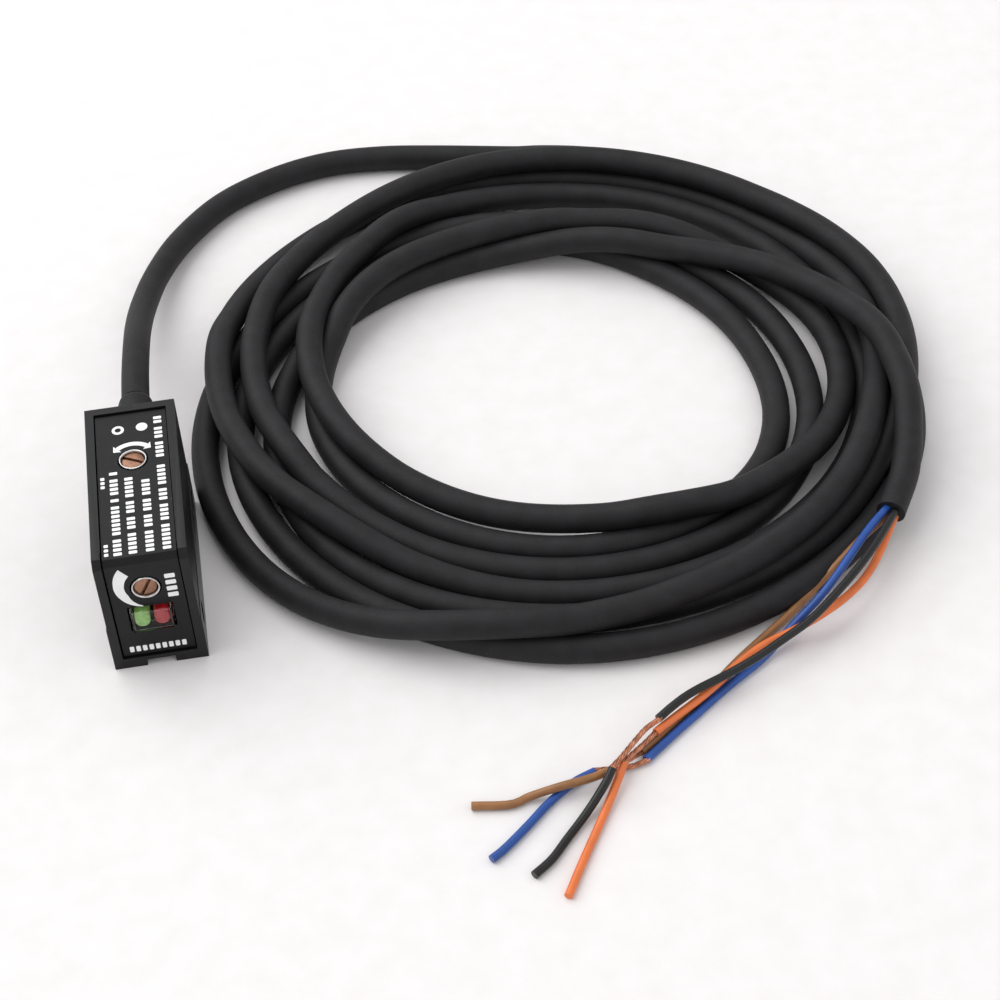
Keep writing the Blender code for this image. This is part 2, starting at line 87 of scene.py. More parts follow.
# The camera: degrees, and its place in millimetres.
CAMERA_AZIMUTH = -6.21
CAMERA_ELEVATION = 44.66
CAMERA_ROLL = -3.89
CAMERA_LENS = 84.17
CAMERA_PLACE = (23.35, -225.4, 230.64)


# ---------------------------------------------------------------- camera

def make_camera():
    """A long lens above the near end, turned slightly to the left and rolled a little."""
    azimuth = math.radians(CAMERA_AZIMUTH)
    elevation = math.radians(CAMERA_ELEVATION)
    roll = math.radians(CAMERA_ROLL)
    back = Vector((math.sin(azimuth) * math.cos(elevation), -math.cos(azimuth) * math.cos(elevation),
                   math.sin(elevation)))
    level = Vector((math.cos(azimuth), math.sin(azimuth), 0.0))
    upright = back.cross(level)
    right = math.cos(roll) * level + math.sin(roll) * upright
    up = -math.sin(roll) * level + math.cos(roll) * upright
    data = bpy.data.cameras.new("camera")
    data.lens = CAMERA_LENS
    data.sensor_width = 36.0
    data.clip_start = 0.01
    data.clip_end = 20.0
    camera = bpy.data.objects.new("camera", data)
    bpy.context.scene.collection.objects.link(camera)
    turn = Matrix((right, up, back)).transposed().to_4x4()
    camera.matrix_world = Matrix.Translation(Vector(CAMERA_PLACE) * MM) @ turn
    bpy.context.scene.camera = camera


# ---------------------------------------------------------------- routes

# From the strain relief to the back of the coil.
LEAD_ROUTE = [
    (0.0, RELIEF_END + FIT, 11.2), (0.2, 31.5, 11.0), (0.5, 38.5, 9.9), (0.8, 46.0, 7.6),
    (1.7, 54.0, 5.2), (3.9, 63.0, 3.4), (8.1, 72.0, 2.4), (15.0, 80.1, 2.1), (23.4, 84.9, 2.1),
    (32.2, 87.3, 2.1), (41.2, 87.2, 2.1), (50.4, 85.4, 2.1),
]
# Where the jacket is cut.
TAIL_END = (99.3, -12.0, 5.6)

# The coil's turns, clockwise: (radius, height) of the centreline at every 45 degrees from the back.
COIL_TURNS = [
    [(54.6, 2.0), (51.5, 1.9), (47.8, 1.9), (52.6, 1.9), (53.8, 1.9), (50.7, 1.9), (46.5, 1.9), (38.5, 1.9)],
    [(32.5, 1.9), (27.8, 1.9), (29.3, 1.9), (36.1, 1.9), (35.1, 1.9), (33.6, 1.9), (35.1, 1.9), (34.0, 5.7)],
    [(31.4, 5.7), (34.4, 5.7), (42.6, 5.7), (41.4, 5.7), (30.6, 1.9), (29.7, 1.9), (34.0, 5.7), (38.6, 5.7)],
    [(44.0, 1.9), (44.1, 1.9), (46.0, 1.9), (46.0, 1.9), (43.6, 1.9), (42.7, 2.5), (48.4, 5.7), (51.3, 5.7)],
    [(48.3, 1.9), (47.8, 1.9), (47.5, 3.0), (48.6, 5.7), (49.5, 5.7), (56.3, 2.5), (51.5, 1.9), (43.0, 1.9)],
    [(37.4, 1.9), (32.0, 1.9), (35.1, 1.9), (40.6, 1.9), (39.4, 1.9), (38.1, 1.9), (42.9, 5.7), (47.5, 8.5)],
    [(48.9, 6.0), (47.6, 5.7), (50.3, 5.7), (49.5, 1.9), (47.8, 1.9), (46.6, 1.9), (40.0, 1.9), (33.0, 1.9)],
]
# The last part-turn climbs over the others: (degrees, radius, height), where 90 degrees is the back.
COIL_LAST = [(90, 29.0, 2.5), (45, 29.1, 5.7), (20, 38.0, 8.0), (0, 44.6, 9.5), (-20, 50.5, 7.5),
             (-30, 52.8, 6.8), (-40, 55.0, 6.0)]

# The four conductors, from the cut jacket to their stripped ends.
CONDUCTOR_ROUTES = {
    "blue": [(98.4, -12.1, 6.2), (95.2, -15.2, 6.2), (90.2, -20.7, 5.5), (86.4, -24.2, 4.3),
             (83.3, -25.6, 2.3), (80.4, -27.6, 1.2), (77.7, -29.9, 0.8), (74.0, -32.3, 0.6),
             (70.6, -34.7, 0.6), (67.5, -37.1, 0.6), (64.4, -39.4, 0.6), (61.8, -41.5, 0.6),
             (59.3, -43.4, 0.6)],
    "brown": [(98.4, -12.1, 4.8), (95.0, -14.6, 4.6), (91.1, -17.5, 3.6), (87.9, -19.6, 2.4),
              (83.6, -22.8, 1.4), (80.0, -25.3, 0.8), (77.2, -27.3, 0.6), (74.0, -29.8, 0.6),
              (71.2, -32.4, 0.6), (68.3, -34.9, 0.6), (65.0, -37.3, 0.6), (62.0, -39.8, 0.6),
              (59.0, -42.0, 0.6)],
    "black": [(99.4, -12.9, 6.2), (96.2, -17.1, 6.2), (92.7, -21.0, 6.0), (88.4, -24.9, 5.5),
              (84.1, -28.3, 4.9), (80.7, -30.0, 4.4), (75.9, -32.4, 3.8), (71.2, -34.1, 3.2),
              (68.0, -35.3, 3.2), (65.1, -36.7, 3.1), (61.8, -38.9, 2.7)],
    "orange": [(99.4, -12.9, 4.8), (96.9, -16.8, 4.2), (94.7, -19.8, 3.8), (92.8, -21.9, 3.6),
               (91.0, -23.3, 3.5), (88.9, -24.8, 3.4), (86.3, -26.1, 3.2), (83.8, -27.2, 2.9),
               (81.4, -27.9, 2.6), (78.2, -28.7, 2.2), (75.5, -30.2, 2.0), (73.0, -32.0, 2.0),
               (70.3, -34.2, 1.9), (67.7, -36.0, 1.8), (65.2, -37.6, 1.8), (62.6, -39.3, 1.8),
               (61.2, -40.3, 1.8)],
}
# Their bare strands, then the part-pulled pieces of insulation beyond those.
CORE_ROUTES = {
    "blue": [(58.9, -43.7, 0.6), (57.6, -44.0, 0.5), (55.7, -43.9, 0.4), (53.3, -43.9, 0.6)],
    "brown": [(58.6, -42.4, 0.7), (57.5, -43.2, 1.1), (56.2, -44.0, 1.2), (55.0, -44.5, 1.3)],
    "black": [(61.4, -39.3, 2.7), (59.9, -40.1, 2.5), (57.8, -42.3, 2.7), (55.9, -44.4, 2.9),
              (54.9, -45.3, 2.9)],
    "orange": [(60.7, -40.7, 1.8), (59.3, -41.9, 1.8), (57.9, -43.0, 1.9), (56.7, -44.1, 2.1)],
}
SLEEVE_ROUTES = {
    "blue": [(52.7, -44.0, 0.6), (49.6, -45.3, 0.6), (46.2, -47.8, 0.6), (43.1, -50.7, 0.6),
             (39.8, -53.6, 0.6), (37.9, -54.9, 0.6)],
    "brown": [(54.6, -44.8, 1.4), (51.8, -45.9, 1.8), (47.9, -46.5, 1.85), (44.1, -46.4, 0.7),
              (41.5, -47.1, 0.6), (36.7, -46.4, 0.6)],
    "black": [(54.6, -45.8, 2.9), (53.1, -47.8, 2.2), (50.4, -50.5, 0.9), (47.4, -53.7, 0.6),
              (45.1, -56.3, 0.6), (42.6, -58.2, 0.6)],
    "orange": [(56.3, -44.6, 2.1), (54.3, -47.9, 1.1), (51.5, -52.6, 0.6), (48.8, -57.2, 0.6),
               (46.1, -62.0, 0.6)],
}


CURVE_STEPS = 24


def smooth_route(points, spacing):
    """Evenly spaced points on the Catmull-Rom curve through a route's own points."""
    route = [np.array(point, float) for point in points]
    route = [2 * route[0] - route[1]] + route + [2 * route[-1] - route[-2]]
    dense = []
    for index in range(1, len(route) - 2):
        before, start, end, after = route[index - 1:index + 3]
        for step in range(CURVE_STEPS):
            t = step / CURVE_STEPS
            dense.append(0.5 * (2 * start + (end - before) * t
                                + (2 * before - 5 * start + 4 * end - after) * t ** 2
                                + (3 * start - before - 3 * end + after) * t ** 3))
    dense = np.array(dense + [route[-2]])
    run = np.concatenate([[0.0], np.cumsum(np.linalg.norm(np.diff(dense, axis=0), axis=1))])
    count = max(2, int(round(run[-1] / spacing)))
    places = np.linspace(0.0, run[-1], count + 1)
    return np.stack([np.interp(places, run, dense[:, axis]) for axis in range(3)], 1)


def bell(width):
    """Weights of a Gaussian, and how many samples it reaches to each side."""
    reach = int(3 * width)
    weights = np.exp(-0.5 * (np.arange(-reach, reach + 1) / width) ** 2)
    return weights / weights.sum(), reach


def blurred(values, width):
    """Rows of values smoothed along their order, with the end rows repeated."""
    weights, reach = bell(width)
    ends = (np.repeat(values[:1], reach, 0), np.repeat(values[-1:], reach, 0))
    padded = np.concatenate([ends[0], values, ends[1]])
    columns = [np.convolve(column, weights, mode="valid") for column in padded.T]
    return np.stack(columns, 1)


def eased(values, width):
    """Smoothed values that keep their slope at both ends."""
    weights, reach = bell(width)
    ahead = 2 * values[0] - values[reach:0:-1]
    behind = 2 * values[-1] - values[-2:-reach - 2:-1]
    return np.convolve(np.concatenate([ahead, values, behind]), weights, mode="valid")


# The coil's plan: degrees between its stations and between its points, and degrees of smoothing.
STATION_TURN = 45
POINT_TURN = 3.0
RADIUS_BLEND = 14.0
HEIGHT_BLEND = 6.0


def coil_plan():
    """The whole cable as laid out from the listed stations: the lead, the turns and the climb to the cut
    end.
    """
    stations = []
    angle = 90
    for turn in COIL_TURNS:
        for radius, height in turn:
            stations.append((angle, radius, height))
            angle -= STATION_TURN
    stations += [(angle + place - 90, radius, height) for place, radius, height in COIL_LAST]
    swept = -np.array([station[0] for station in stations], float)
    angles = np.arange(swept[0], swept[-1] + 0.01, POINT_TURN)
    radii = np.interp(angles, swept, [station[1] for station in stations])
    radii = eased(radii, RADIUS_BLEND / POINT_TURN)
    heights = np.interp(angles, swept, [station[2] for station in stations])
    heights = eased(heights, HEIGHT_BLEND / POINT_TURN)
    turn = np.radians(-angles)
    ring = np.stack([COIL_CENTRE[0] + radii * np.cos(turn), COIL_CENTRE[1] + radii * np.sin(turn),
                     heights], 1)
    return smooth_route([*LEAD_ROUTE, *ring[1:], TAIL_END], PLAN_SPACING)


# How the cable settles. The lead's first points and the cut end stay where they are planned.
SETTLE_ROUNDS = 360
START_STRETCH = 1.2
LEAD_HELD = 26
LEAD_EASED = 14
END_HELD = 3
NEIGHBOUR_EVERY = 5
NEIGHBOUR_MARGIN = 3.0
SAME_STRETCH = 6
PLAN_PULL = 0.98
DRIFT_BLUR = 4.0
LEVEL_BLUR = 2.5
LEVEL_SHARE = 0.25
SINK = 0.03
CONTACT_PASSES = 4
PUSH_SHARE = 0.35
UPWARD_BIAS = np.array([1.0, 1.0, 1.5])
MOST_PUSHES = 1.6


def parted(points, first, second, free):
    """Points moved so that each touching pair of stretches gives way to the other."""
    across = points[first] - points[second]
    apart = np.linalg.norm(across, axis=1)
    hit = apart < CABLE_DIAMETER
    push = across[hit] * UPWARD_BIAS
    push /= np.linalg.norm(push, axis=1)[:, None]
    push *= PUSH_SHARE * (CABLE_DIAMETER - apart[hit])[:, None]
    total = np.zeros_like(points)
    touches = np.zeros(len(points))
    np.add.at(total, first[hit], push)
    np.add.at(total, second[hit], -push)
    np.add.at(touches, first[hit], 1)
    np.add.at(touches, second[hit], 1)
    scale = np.minimum(touches, MOST_PUSHES) / np.maximum(touches, 1)
    moved = points + total * (scale * free)[:, None]
    moved[:, 2] = np.maximum(moved[:, 2], CABLE_DIAMETER / 2)
    return moved


def settle(plan):
    """Lets the planned cable sink onto the table and onto itself, pushing apart turns that share space, for
    a fixed number of rounds.
    """
    radius = CABLE_DIAMETER / 2
    points = plan.copy()
    points[:, 2] = radius + (points[:, 2] - radius) * START_STRETCH
    free = np.ones(len(points))
    free[:LEAD_HELD] = 0.0
    free[LEAD_HELD:LEAD_HELD + LEAD_EASED] = np.linspace(0.0, 1.0, LEAD_EASED)
    free[-END_HELD:] = 0.0
    held = free[:, None]
    for step in range(SETTLE_ROUNDS):
        if step % NEIGHBOUR_EVERY == 0:
            gaps = points[:, None, :] - points[None, :, :]
            near = (gaps ** 2).sum(-1) < (CABLE_DIAMETER + NEIGHBOUR_MARGIN) ** 2
            first, second = np.nonzero(np.triu(near, SAME_STRETCH))
        drift = (points - plan)[:, :2] * PLAN_PULL
        drift = 0.5 * drift + 0.5 * blurred(drift, DRIFT_BLUR)
        points[:, :2] = (plan[:, :2] + drift) * held + plan[:, :2] * (1 - held)
        level = blurred(points[:, 2:3], LEVEL_BLUR)[:, 0]
        sunk = (1 - LEVEL_SHARE) * points[:, 2] + LEVEL_SHARE * level - SINK
        points[:, 2] = sunk * free + plan[:, 2] * (1 - free)
        for _ in range(CONTACT_PASSES):
            points = parted(points, first, second, free)
    return points


def route_length(points):
    return float(np.linalg.norm(np.diff(np.array(points), axis=0), axis=1).sum())


# ---------------------------------------------------------------- materials

class Nodes:
    """A short way to write a material's node tree round its Principled shader."""

    def __init__(self, name, colour, roughness, metallic=0.0):
        self.material = bpy.data.materials.new(name)
        self.material.use_nodes = True
        self.tree = self.material.node_tree
        self.shader = self.tree.nodes["Principled BSDF"]
        self.shader.inputs["Base Color"].default_value = (*colour, 1.0)
        self.shader.inputs["Roughness"].default_value = roughness
        self.shader.inputs["Metallic"].default_value = metallic
        self.place = self.tree.nodes.new("ShaderNodeTexCoord").outputs["Object"]

    def link(self, source, target):
        self.tree.links.new(source, target)

    def noise(self, scale, detail=3.0, stretch=None):
        """Noise with this many cells in a millimetre."""
        node = self.tree.nodes.new("ShaderNodeTexNoise")
        node.inputs["Scale"].default_value = scale / MM
        node.inputs["Detail"].default_value = detail
        source = self.place
        if stretch:
            mapping = self.tree.nodes.new("ShaderNodeMapping")
            mapping.inputs["Scale"].default_value = stretch
            self.link(source, mapping.inputs["Vector"])
            source = mapping.outputs["Vector"]
        self.link(source, node.inputs["Vector"])
        return node.outputs["Fac"]

    def spread(self, source, low, high, start=0.35, end=0.65):
        """A number between low and high as source goes from start to end."""
        node = self.tree.nodes.new("ShaderNodeMapRange")
        node.inputs["From Min"].default_value = start
        node.inputs["From Max"].default_value = end
        node.inputs["To Min"].default_value = low
        node.inputs["To Max"].default_value = high
        self.link(source, node.inputs["Value"])
        return node.outputs["Result"]

    def ramp(self, source, *stops):
        """Colours blended between stops: (place, colour) pairs."""
        node = self.tree.nodes.new("ShaderNodeValToRGB")
        ramp = node.color_ramp
        while len(ramp.elements) < len(stops):
            ramp.elements.new(0.5)
        for element, (place, colour) in zip(ramp.elements, stops):
            element.position = place
            element.color = (*colour, 1.0)
        self.link(source, node.inputs["Fac"])
        return node.outputs["Color"]

    def lighter(self, first, second):
        """The lighter of two colours, channel by channel."""
        node = self.tree.nodes.new("ShaderNodeMix")
        node.data_type = "RGBA"
        node.blend_type = "LIGHTEN"
        node.inputs[0].default_value = 1.0
        self.link(first, node.inputs[6])
        self.link(second, node.inputs[7])
        return node.outputs[2]

    def bump(self, source, depth):
        """Bump of this depth in millimetres."""
        node = self.tree.nodes.new("ShaderNodeBump")
        node.inputs["Distance"].default_value = depth * MM
        self.link(source, node.inputs["Height"])
        self.link(node.outputs["Normal"], self.shader.inputs["Normal"])


def shade(colour, factor):
    """The colour made this many times as light."""
    return tuple(min(1.0, channel * factor) for channel in colour)


def moulded(name, colour, roughness, grain=6.0, depth=0.006, mottle=1.25, specks=None, shine=0.5):
    """Moulded plastic: fine spark texture, faint mottling, dust specks, roughness that varies a little."""
    nodes = Nodes(name, colour, roughness)
    cloud = nodes.noise(0.35)
    tint = nodes.ramp(cloud, (0.35, shade(colour, 1 / mottle)), (0.65, shade(colour, mottle)))
    if specks:
        dust = nodes.ramp(nodes.noise(2.6, 2.0), (0.735, (0.0, 0.0, 0.0)), (0.775, specks))
        tint = nodes.lighter(tint, dust)
    nodes.link(tint, nodes.shader.inputs["Base Color"])
    fine = nodes.noise(grain, 4.0)
    nodes.link(nodes.spread(fine, roughness - 0.05, roughness + 0.07), nodes.shader.inputs["Roughness"])
    nodes.bump(fine, depth)
    nodes.shader.inputs["Specular IOR Level"].default_value = shine
    return nodes.material


def metal(name, colour, roughness, worn, grain=9.0, depth=0.004):
    """Plated or bare metal with tarnish patches and fine tool marks."""
    nodes = Nodes(name, colour, roughness, 1.0)
    cloud = nodes.noise(0.9, 5.0)
    nodes.link(nodes.ramp(cloud, (0.36, worn), (0.62, colour)), nodes.shader.inputs["Base Color"])
    marks = nodes.noise(grain, 3.0, (1.0, 1.0, 0.25))
    nodes.link(nodes.spread(marks, roughness - 0.07, roughness + 0.12), nodes.shader.inputs["Roughness"])
    nodes.bump(marks, depth)
    return nodes.material


def clear_plastic(name, colour, roughness, weight=1.0, ior=1.49):
    """Clear or tinted moulding with faint flow marks."""
    nodes = Nodes(name, colour, roughness)
    flow = nodes.noise(0.8, 2.0)
    nodes.link(nodes.spread(flow, max(0.0, roughness - 0.02), roughness + 0.04),
               nodes.shader.inputs["Roughness"])
    nodes.link(nodes.ramp(flow, (0.3, shade(colour, 0.92)), (0.7, colour)),
               nodes.shader.inputs["Base Color"])
    nodes.bump(flow, 0.004)
    nodes.shader.inputs["Transmission Weight"].default_value = weight
    nodes.shader.inputs["IOR"].default_value = ior
    return nodes.material


def lamp_body(name, colour, painted_glow):
    """Tinted diffusing epoxy of a small indicator lamp, with a faint painted glow that makes the unlit lamp
    a little brighter than its surroundings.
    """
    nodes = Nodes(name, colour, 0.22)
    cloud = nodes.noise(1.4, 2.0)
    nodes.link(nodes.ramp(cloud, (0.35, shade(colour, 0.75)), (0.65, shade(colour, 1.1))),
               nodes.shader.inputs["Base Color"])
    nodes.bump(cloud, 0.01)
    nodes.shader.inputs["Coat Weight"].default_value = 0.4
    # Painted glow: the unlit lamp gives off a little light of its own colour.
    nodes.shader.inputs["Emission Color"].default_value = (*colour, 1.0)
    nodes.shader.inputs["Emission Strength"].default_value = painted_glow
    return nodes.material


def circuit_board(name):
    """Solder-mask green over a faint pattern of tracks."""
    nodes = Nodes(name, (0.015, 0.11, 0.045), 0.35)
    tracks = nodes.tree.nodes.new("ShaderNodeTexVoronoi")
    tracks.distance = "CHEBYCHEV"
    tracks.inputs["Scale"].default_value = 1.1 / MM
    nodes.link(nodes.place, tracks.inputs["Vector"])
    edge = nodes.ramp(tracks.outputs["Distance"], (0.42, (0.02, 0.16, 0.06)), (0.46, (0.008, 0.07, 0.03)))
    nodes.link(edge, nodes.shader.inputs["Base Color"])
    nodes.bump(tracks.outputs["Distance"], 0.03)
    return nodes.material


MATERIALS = {
    "case": moulded("case_black", (0.0050, 0.0050, 0.0058), 0.36, 5.0, 0.010, specks=(0.09, 0.09, 0.10),
                    shine=0.28),
    "panel": moulded("panel_black", (0.0042, 0.0042, 0.0050), 0.42, 7.0, 0.006, specks=(0.07, 0.07, 0.08),
                     shine=0.24),
    "print_white": moulded("print_white", (0.88, 0.88, 0.87), 0.55, 12.0, 0.004, 1.04),
    "lens_red": clear_plastic("lens_red", (0.34, 0.012, 0.014), 0.10, 0.75),
    "clear": clear_plastic("clear_plastic", (0.97, 0.98, 0.98), 0.02, 1.0, 1.20),
    "board": circuit_board("board_green"),
    "chip": moulded("chip_black", (0.012, 0.012, 0.013), 0.42, 8.0, 0.006),
    "tantalum": moulded("tantalum_yellow", (0.66, 0.34, 0.05), 0.40, 6.0, 0.005),
    "tin": metal("tin_plate", (0.70, 0.70, 0.69), 0.24, (0.50, 0.49, 0.48)),
    "rotor": metal("rotor_bronze", (0.37, 0.205, 0.135), 0.50, (0.27, 0.15, 0.10), 7.0, 0.006),
    # The last number of each lamp is its painted glow; the lamps are not lit.
    "led_green": lamp_body("led_green", (0.27, 0.50, 0.13), 0.14),
    "led_red": lamp_body("led_red", (0.42, 0.012, 0.018), 0.12),
    "cable_jacket": moulded("cable_black", (0.0120, 0.0112, 0.0125), 0.60, 4.0, 0.012, 1.2,
                            specks=(0.05, 0.05, 0.05), shine=0.26),
    "copper": metal("bare_copper", (0.66, 0.30, 0.18), 0.28, (0.34, 0.14, 0.085), 12.0, 0.004),
    "insulation_blue": moulded("insulation_blue", (0.010, 0.066, 0.300), 0.32, 6.0, 0.004, 1.12),
    "insulation_brown": moulded("insulation_brown", (0.270, 0.118, 0.038), 0.34, 6.0, 0.004, 1.15),
    "insulation_black": moulded("insulation_black", (0.0055, 0.0055, 0.0060), 0.30, 6.0, 0.004, 1.2,
                                shine=0.4),
    "insulation_orange": moulded("insulation_orange", (0.70, 0.160, 0.036), 0.32, 6.0, 0.004, 1.08),
}
# The material of each CAD node of the sensor, its inside and its strain relief.
BODY_SLOTS = {
    "case": "case", "cover_panel": "panel", "lens_cover": "lens_red", "indicator_window": "clear",
    "emitter_lens": "clear", "receiver_lens": "clear", "emitter_led": "clear", "optics_holder": "chip",
    "photodiode": "chip", "receiver_shield": "tin", "main_board": "board", "display_board": "board",
    "signal_chip": "chip", "output_transistor": "chip", "filter_capacitor": "tantalum",
    "mode_switch_body": "chip", "trimmer_body": "chip", "mode_bezel": "tin", "sens_bezel": "tin",
    "mode_selector": "rotor", "sens_adjuster": "rotor", "green_led": "led_green", "red_led": "led_red",
    "strain_relief": "cable_jacket", "inner_lead_brown": "insulation_brown",
    "inner_lead_blue": "insulation_blue", "inner_lead_black": "insulation_black",
    "inner_lead_orange": "insulation_orange",
}


# ---------------------------------------------------------------- building pieces

# From this angle on, in degrees, an edge is shaded sharp, or is rounded by a bevel.
SHARP_FROM = 35
BEVEL_FROM = 30


def place_piece(item, slot, body="sensor", node=None):
    """Puts a piece in the scene with its material, riding its body and standing for its CAD nodes."""
    bpy.context.scene.collection.objects.link(item)
    item.data.materials.clear()
    item.data.materials.append(MATERIALS[slot])
    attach(item, body)
    if node:
        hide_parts(*([node] if isinstance(node, str) else node))
    return item


def mesh_piece(name, shape, slot, body="sensor", node=None):
    """Turns a bmesh in millimetres into a piece in metres."""
    bmesh.ops.scale(shape, vec=(MM, MM, MM), verts=shape.verts)
    bmesh.ops.recalc_face_normals(shape, faces=shape.faces)
    mesh = bpy.data.meshes.new(name)
    shape.to_mesh(mesh)
    shape.free()
    mesh.shade_smooth()
    mesh.set_sharp_from_angle(angle=math.radians(SHARP_FROM))
    return place_piece(bpy.data.objects.new(name, mesh), slot, body, node)


def softened(node, slot, bevel, segments=3, snug=0.0):
    """A CAD node's shape with its faces merged and its edges rounded, standing for the node.

    snug moves its two sides and its lower end this far outwards, to sit closer in its opening.
    """
    shape = bmesh.new()
    shape.from_mesh(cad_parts[node].data)
    bmesh.ops.remove_doubles(shape, verts=shape.verts, dist=0.004 * MM)
    bmesh.ops.dissolve_limit(shape, angle_limit=math.radians(1.0), verts=shape.verts, edges=shape.edges)
    bmesh.ops.scale(shape, vec=(1 / MM, 1 / MM, 1 / MM), verts=shape.verts)
    side = max(corner.co.x for corner in shape.verts)
    foot = min(corner.co.z for corner in shape.verts)
    for corner in shape.verts:
        if snug and abs(corner.co.x) > side - 0.05:
            corner.co.x += math.copysign(snug, corner.co.x)
        if snug and corner.co.z < foot + 0.05:
            corner.co.z -= snug
    item = mesh_piece(node + "_shell", shape, slot, "sensor", node)
    edge = item.modifiers.new("Edges", "BEVEL")
    edge.width = bevel * MM
    edge.segments = segments
    edge.limit_method = "ANGLE"
    edge.angle_limit = math.radians(BEVEL_FROM)
    edge.harden_normals = True
    return item


def round_curve(name, radius, sides):
    """An empty curve whose lines become round rods with closed ends."""
    curve = bpy.data.curves.new(name, "CURVE")
    curve.dimensions = "3D"
    curve.bevel_depth = radius * MM
    curve.bevel_resolution = sides
    curve.use_fill_caps = True
    return curve


def add_line(curve, points):
    """One open line through points in millimetres."""
    spline = curve.splines.new("POLY")
    spline.points.add(len(points) - 1)
    for knot, point in zip(spline.points, points):
        knot.co = (*(float(value) * MM for value in point), 1.0)
    spline.use_smooth = True


def tube(name, points, diameter, slot, node, sides=5):
    """A round tube with closed ends along one open line."""
    curve = round_curve(name, diameter / 2, sides)
    add_line(curve, points)
    return place_piece(bpy.data.objects.new(name, curve), slot, "sensor", node)


def lathe(name, profile, centre, axis, slot, body="sensor", node=None, steps=72):
    """A turned piece: (radius, height) pairs about an axis along +Z, or along -Y for a near-face piece."""
    shape = bmesh.new()
    rings = []
    for radius, height in profile:
        ring = []
        for step in range(steps if radius > 0 else 1):
            angle = math.tau * step / steps
            across, up = radius * math.cos(angle), radius * math.sin(angle)
            spot = (across, up, height) if axis == "Z" else (across, -height, up)
            ring.append(shape.verts.new([spot[index] + centre[index] for index in range(3)]))
        rings.append(ring)
    for inner, outer in zip(rings, rings[1:]):
        for step in range(steps):
            after = (step + 1) % steps
            if len(inner) == 1:
                shape.faces.new((inner[0], outer[step], outer[after]))
            elif len(outer) == 1:
                shape.faces.new((inner[step], inner[after], outer[0]))
            else:
                shape.faces.new((inner[step], inner[after], outer[after], outer[step]))
    bmesh.ops.remove_doubles(shape, verts=shape.verts, dist=0.0001)
    return mesh_piece(name, shape, slot, body, node)


# ---------------------------------------------------------------- printed marks

# How far the ink stands above its face, and how far it reaches into it.
PRINT_THICKNESS = 0.035
PRINT_SINK = 0.01

# Plain blocks that stand in for words: the block, the gap to the next, the space between groups.
BLOCK_LENGTH = 0.52
BLOCK_GAP = 0.27
WORD_SPACE = 0.85


def rounded_bar(left, low, right, high, corner):
    """Outline of a rectangle with rounded corners."""
    corner = min(corner, (right - left) / 2.01, (high - low) / 2.01)
    outline = []
    for across, up, start in ((right - corner, high - corner, 0), (left + corner, high - corner, 90),
                              (left + corner, low + corner, 180), (right - corner, low + corner, 270)):
        for step in range(5):
            angle = math.radians(start + 22.5 * step)
            outline.append((across + corner * math.cos(angle), up + corner * math.sin(angle)))
    return outline


def arc_band(centre, inner, outer, steps=36):
    """Outline of a band between two arcs, each given as radius by angle: [(degrees, radius), ...]."""
    def along(arc, forward=True):
        first = max(inner[0][0], outer[0][0])
        last = min(inner[-1][0], outer[-1][0])
        edge = []
        for step in range(steps + 1):
            angle = first + (last - first) * step / steps
            radius = float(np.interp(angle, [pair[0] for pair in arc], [pair[1] for pair in arc]))
            turn = math.radians(angle)
            edge.append((centre[0] + radius * math.cos(turn), centre[1] + radius * math.sin(turn)))
        return edge if forward else edge[::-1]

    return along(inner) + along(outer, False)


def print_piece(name, outlines, face):
    """Ink of a given thickness on the label face ("top") or the adjuster face ("near")."""
    shape = bmesh.new()
    for outline in outlines:
        layers = []
        for lift in (-PRINT_SINK, PRINT_THICKNESS):
            if face == "top":
                spots = [(across, up, PANEL_TOP + lift) for across, up in outline]
            else:
                spots = [(across, PANEL_FRONT - lift, up) for across, up in outline]
            layers.append([shape.verts.new(spot) for spot in spots])
        shape.faces.new(layers[0])
        shape.faces.new(layers[1])
        for index in range(len(outline)):
            after = (index + 1) % len(outline)
            shape.faces.new((layers[0][index], layers[0][after], layers[1][after], layers[1][index]))
    bmesh.ops.remove_doubles(shape, verts=shape.verts, dist=0.0005)
    return mesh_piece(name, shape, "print_white")


def dashes(start, end, across, height, words):
    """Plain blocks in a row along +Y, grouped like words, from start until end."""
    bars = []
    place = start
    group = 0
    while place + BLOCK_LENGTH <= end:
        for _ in range(words[group % len(words)]):
            if place + BLOCK_LENGTH <= end:
                bars.append((across - height / 2, place, across + height / 2, place + BLOCK_LENGTH))
            place += BLOCK_LENGTH + BLOCK_GAP
        place += WORD_SPACE - BLOCK_GAP
        group += 1
    return bars


